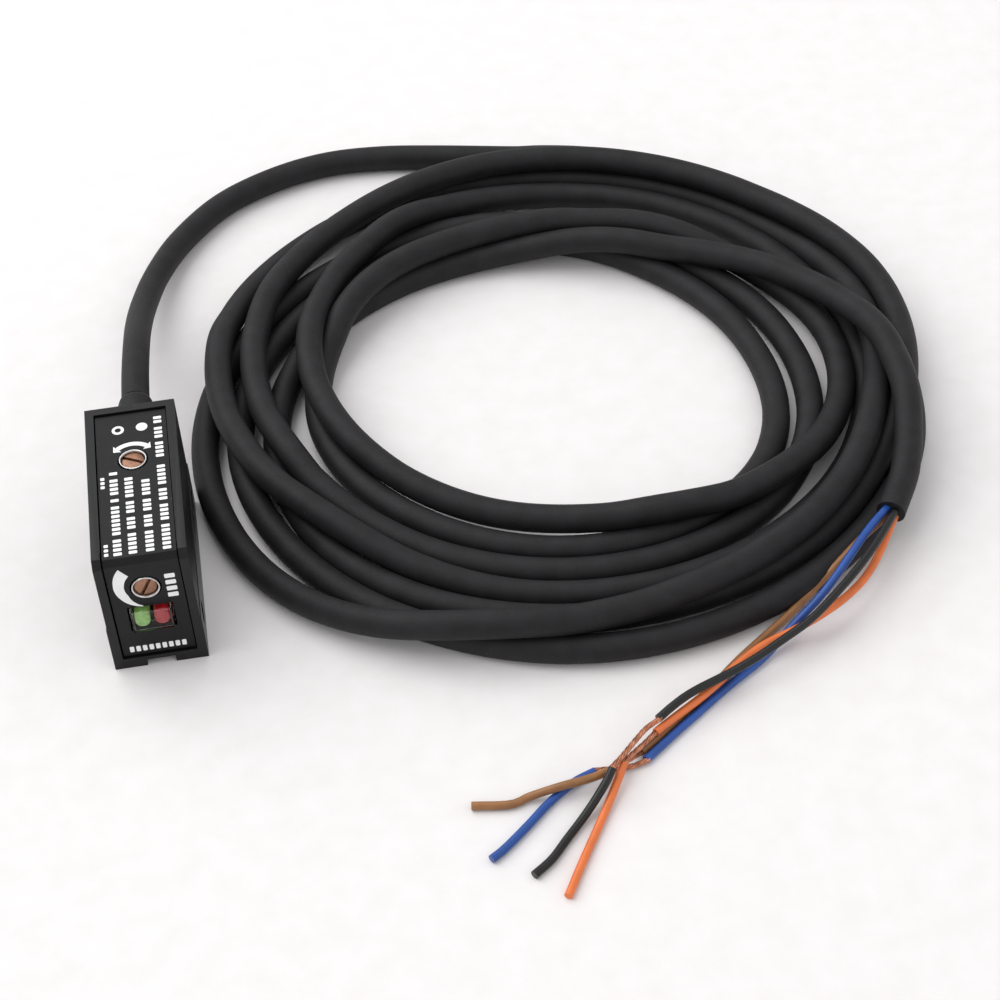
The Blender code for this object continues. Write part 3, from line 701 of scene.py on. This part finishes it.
def make_top_print():
    """Turn arrow round the selector, plain bars for the wiring key, and two small icons."""
    centre = (0.0, SELECTOR_Y)
    outlines = [arc_band(centre, [(50, 2.72), (131, 2.72)], [(50, 3.42), (131, 3.42)])]
    for tip, foot in ((37, 51), (144, 130)):
        head = [(centre[0] + radius * math.cos(math.radians(angle)),
                 centre[1] + radius * math.sin(math.radians(angle)))
                for angle, radius in ((foot, 2.30), (foot, 3.86), (tip, 3.12))]
        outlines.append(head)
    # Each column of blocks: its place across the face, its start and end, and the blocks in each word.
    bars = []
    for across, start, end, words in ((-2.7, -13.0, 3.1, (4, 7, 1)), (-0.75, -13.0, 1.3, (5, 3, 3)),
                                      (1.45, -13.0, 0.4, (5, 3, 3)), (3.6, -13.0, 3.2, (6, 4, 3)),
                                      (3.6, 4.3, 12.6, (4, 3))):
        bars += dashes(start, end, across, 1.08, words)
    bars += dashes(-12.9, -10.5, -4.15, 0.55, (3,)) + dashes(-0.4, 2.0, -4.15, 0.55, (3,))
    outlines += [rounded_bar(*bar, 0.12) for bar in bars]
    ring = (-1.75, SELECTOR_Y + 6.1)
    outlines += [arc_band(ring, [(start, 0.42), (start + 180, 0.42)], [(start, 0.82), (start + 180, 0.82)])
                 for start in (0, 180)]
    disc = (1.45, SELECTOR_Y + 6.2)
    disc_radius = 0.78
    outlines.append([(disc[0] + disc_radius * math.cos(math.radians(angle)),
                      disc[1] + disc_radius * math.sin(math.radians(angle)))
                     for angle in range(0, 360, 15)])
    print_piece("label_print", outlines, "top")


def make_near_print():
    """Tapering turn mark round the adjuster, and plain bars for the small captions."""
    outer = [(128, 4.85), (164, 4.20), (205, 3.77), (256, 3.48)]
    inner = [(128, 3.05), (162, 2.80), (205, 2.63), (256, 3.36)]
    outlines = [arc_band((0.0, ADJUSTER_Z), inner, outer, 48)]
    bars = [(2.6, 12.0 + 1.15 * index, 3.95, 12.75 + 1.15 * index) for index in range(4)]
    bars += [(-3.8 + 0.86 * index, 2.6, -3.22 + 0.86 * index, 3.6) for index in range(9)]
    outlines += [rounded_bar(*bar, 0.14) for bar in bars]
    print_piece("adjuster_print", outlines, "near")


# ---------------------------------------------------------------- the sensor

# The lamps' domed front: (depth, how far the outline is drawn in), and their corner radius.
LAMP_DOME = ((0.0, 0.30), (0.06, 0.16), (0.18, 0.06), (0.40, 0.0))
LAMP_CORNER = 0.95

# Turned profiles: (radius, height above the face).
ROTOR_PROFILE = [
    (0.0, -0.05), (0.8, -0.06), (1.25, -0.10), (1.43, -0.17), (1.50, -0.28), (1.50, -1.20),
    (0.80, -1.20), (0.80, -1.60), (0.0, -1.60),
]
RING_PROFILE = [
    (1.60, -0.9), (1.60, 0.00), (1.63, 0.08), (1.68, 0.14), (1.74, 0.16), (1.81, 0.14), (1.86, 0.06),
    (1.88, -0.9), (1.60, -0.9),
]
SLOT_LENGTH = 5.0
SLOT_WIDTH = 0.46
SLOT_DEPTH = 0.7


def make_lamp(name, node, slot):
    """An indicator lamp: a rounded epoxy bar whose front edge is domed."""
    low, high = node_box(node)
    shape = bmesh.new()
    rings = []
    for depth, inset in (*LAMP_DOME, (high[1] - low[1], 0.0)):
        outline = rounded_bar(low[0] + inset, low[2] + inset, high[0] - inset, high[2] - inset,
                              LAMP_CORNER - inset)
        rings.append([shape.verts.new((across, low[1] + depth, up)) for across, up in outline])
    for before, after in zip(rings, rings[1:]):
        for index in range(len(before)):
            step = (index + 1) % len(before)
            shape.faces.new((before[index], before[step], after[step], after[index]))
    shape.faces.new(rings[0])
    shape.faces.new(rings[-1])
    mesh_piece(name, shape, slot, "sensor", node)


def make_body():
    """The case, its cover and windows, the lamps, and what is inside."""
    softened("case", "case", 0.16)
    softened("cover_panel", "panel", 0.06, snug=0.13)
    softened("indicator_window", "clear", 0.16, segments=2)
    softened("lens_cover", "lens_red", 0.05, segments=2)
    make_lamp("green_lamp", "green_led", "led_green")
    make_lamp("red_lamp", "red_led", "led_red")
    for node in ("main_board", "display_board"):
        softened(node, "board", 0.06, segments=2)
    for node in ("signal_chip", "output_transistor", "mode_switch_body", "trimmer_body", "photodiode"):
        softened(node, "chip", 0.08, segments=2)
    for node, slot in BODY_SLOTS.items():
        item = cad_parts[node]
        item.data.materials.clear()
        item.data.materials.append(MATERIALS[slot])


def make_rotor(name, node, centre, axis, slot_angle):
    """A screwdriver-turned disc with a slot across its domed face."""
    rotor = lathe(name, ROTOR_PROFILE, centre, axis, "rotor", body=node, node=node)
    tool = bmesh.new()
    bmesh.ops.create_cube(tool, size=1.0)
    bmesh.ops.scale(tool, vec=(SLOT_LENGTH, SLOT_WIDTH, 2 * SLOT_DEPTH), verts=tool.verts)
    bmesh.ops.rotate(tool, cent=(0, 0, 0), matrix=Matrix.Rotation(math.radians(slot_angle), 3, "Z"),
                     verts=tool.verts)
    if axis == "Y":
        bmesh.ops.rotate(tool, cent=(0, 0, 0), matrix=Matrix.Rotation(math.radians(90), 3, "X"),
                         verts=tool.verts)
    bmesh.ops.translate(tool, vec=centre, verts=tool.verts)
    bmesh.ops.scale(tool, vec=(MM, MM, MM), verts=tool.verts)
    mesh = bpy.data.meshes.new(name + "_slot")
    tool.to_mesh(mesh)
    tool.free()
    cutter = bpy.data.objects.new(name + "_slot", mesh)
    bpy.context.scene.collection.objects.link(cutter)
    step = rotor.modifiers.new("Slot", "BOOLEAN")
    step.operation = "DIFFERENCE"
    step.solver = "EXACT"
    step.object = cutter
    bpy.context.view_layer.update()
    cut = bpy.data.meshes.new_from_object(rotor.evaluated_get(bpy.context.evaluated_depsgraph_get()))
    rotor.modifiers.clear()
    rotor.data = cut
    rotor.data.set_sharp_from_angle(angle=math.radians(BEVEL_FROM))
    bpy.data.objects.remove(cutter, do_unlink=True)


def make_adjusters():
    """The two slotted rotors, and the plated rings round them, rolled over at the rim."""
    selector_centre = (0.0, SELECTOR_Y, PANEL_TOP)
    adjuster_centre = (0.0, PANEL_FRONT, ADJUSTER_Z)
    make_rotor("mode_disc", "mode_selector", selector_centre, "Z", -28)
    make_rotor("sens_disc", "sens_adjuster", adjuster_centre, "Y", 62)
    lathe("mode_ring", RING_PROFILE, selector_centre, "Z", "tin", node="mode_bezel")
    lathe("sens_ring", RING_PROFILE, adjuster_centre, "Y", "tin", node="sens_bezel")


# ---------------------------------------------------------------- the cable and its wires

def make_cable():
    """The whole jacketed cable as one tube, from the strain relief to its cut end."""
    points = settle(coil_plan())
    fine = smooth_route(points, JACKET_SPACING)
    jacket = tube("cable", fine, CABLE_DIAMETER, "cable_jacket",
                  ["cable_lead", "cable_coil", "cable_tail"], sides=6)


def strands(name, route, node):
    """A bundle of fine copper strands twisted round a route, reaching a little into the insulation."""
    curve = round_curve(name, STRAND_RADIUS, 2)
    line = smooth_route(route, STRAND_SPACING)
    # Both ends go on inside the insulation they come out of.
    reach = np.array([0.9, 0.45])[:, None]
    ahead = (line[0] - line[1]) / np.linalg.norm(line[0] - line[1])
    behind = (line[-1] - line[-2]) / np.linalg.norm(line[-1] - line[-2])
    line = np.concatenate([line[0] + reach * ahead, line, line[-1] + reach[::-1] * behind])
    along = np.gradient(line, axis=0)
    along /= np.linalg.norm(along, axis=1)[:, None]
    side = np.cross(along, np.array([0.0, 0.0, 1.0]))
    side /= np.linalg.norm(side, axis=1)[:, None]
    over = np.cross(side, along)
    run = np.linspace(0.0, route_length(line), len(line))
    for index in range(STRAND_COUNT):
        ring = 0.0 if index == 0 else STRAND_RING
        turn = math.tau * (index / (STRAND_COUNT - 1) + run / STRAND_PITCH)
        add_line(curve, line + ring * (np.cos(turn)[:, None] * side + np.sin(turn)[:, None] * over))
    return place_piece(bpy.data.objects.new(name, curve), "copper", "sensor", node)


def make_wires():
    """Each conductor with its strands and its pulled sleeve; its start is tucked into the jacket."""
    for colour, route in CONDUCTOR_ROUTES.items():
        fine = smooth_route(route, WIRE_SPACING)
        fine[3:-3] = blurred(fine, WIRE_BLUR)[3:-3]
        inwards = (fine[0] - fine[1]) / np.linalg.norm(fine[0] - fine[1])
        fine = np.concatenate([[fine[0] + TUCKED_IN * inwards], fine])
        slot = "insulation_" + colour
        wire = tube("wire_" + colour, fine, WIRE_DIAMETER, slot, "conductor_" + colour)
        core = strands("strands_" + colour, CORE_ROUTES[colour], "core_" + colour)
        sleeve = tube("pulled_sleeve_" + colour, smooth_route(SLEEVE_ROUTES[colour], WIRE_SPACING),
                      WIRE_DIAMETER, slot, "sleeve_" + colour)


# ---------------------------------------------------------------- floor and light

FLOOR_REACH = 1.6


def make_floor():
    """A sheet of white paper under the object; its size is in metres."""
    shape = bmesh.new()
    bmesh.ops.create_grid(shape, x_segments=2, y_segments=2, size=FLOOR_REACH)
    mesh = bpy.data.meshes.new("floor")
    shape.to_mesh(mesh)
    shape.free()
    floor = bpy.data.objects.new("floor", mesh)
    bpy.context.scene.collection.objects.link(floor)
    nodes = Nodes("paper", (0.80, 0.775, 0.77), 0.85)
    cloud = nodes.noise(0.25, 4.0)
    nodes.link(nodes.ramp(cloud, (0.3, (0.79, 0.765, 0.76)), (0.7, (0.82, 0.80, 0.795))),
               nodes.shader.inputs["Base Color"])
    nodes.bump(nodes.noise(1.6, 5.0), 0.02)
    nodes.shader.inputs["Specular IOR Level"].default_value = 0.2
    mesh.materials.append(nodes.material)


def area_light(name, place, target, size, power):
    """A flat square lamp at a place in metres, turned towards its target."""
    data = bpy.data.lights.new(name, "AREA")
    data.shape = "SQUARE"
    data.size = size
    data.energy = power
    lamp = bpy.data.objects.new(name, data)
    bpy.context.scene.collection.objects.link(lamp)
    lamp.location = place
    lamp.rotation_euler = (Vector(target) - Vector(place)).to_track_quat("-Z", "Y").to_euler()


def make_light():
    """Even white surroundings, a wide lamp behind on the left and a weak one in front on the right."""
    world = bpy.data.worlds.new("studio")
    world.use_nodes = True
    world.node_tree.nodes["Background"].inputs["Color"].default_value = (0.98, 0.985, 1.0, 1.0)
    world.node_tree.nodes["Background"].inputs["Strength"].default_value = 0.78
    bpy.context.scene.world = world
    bpy.context.scene.view_settings.view_transform = "Standard"
    target = (0.05, 0.02, 0.0)
    area_light("key", (-0.5, 0.42, 0.9), target, 1.3, 10.0)
    area_light("fill", (0.6, -0.5, 0.7), target, 0.8, 0.8)


make_camera()
make_cable()
make_wires()
make_body()
make_adjusters()
make_top_print()
make_near_print()
make_floor()
make_light()
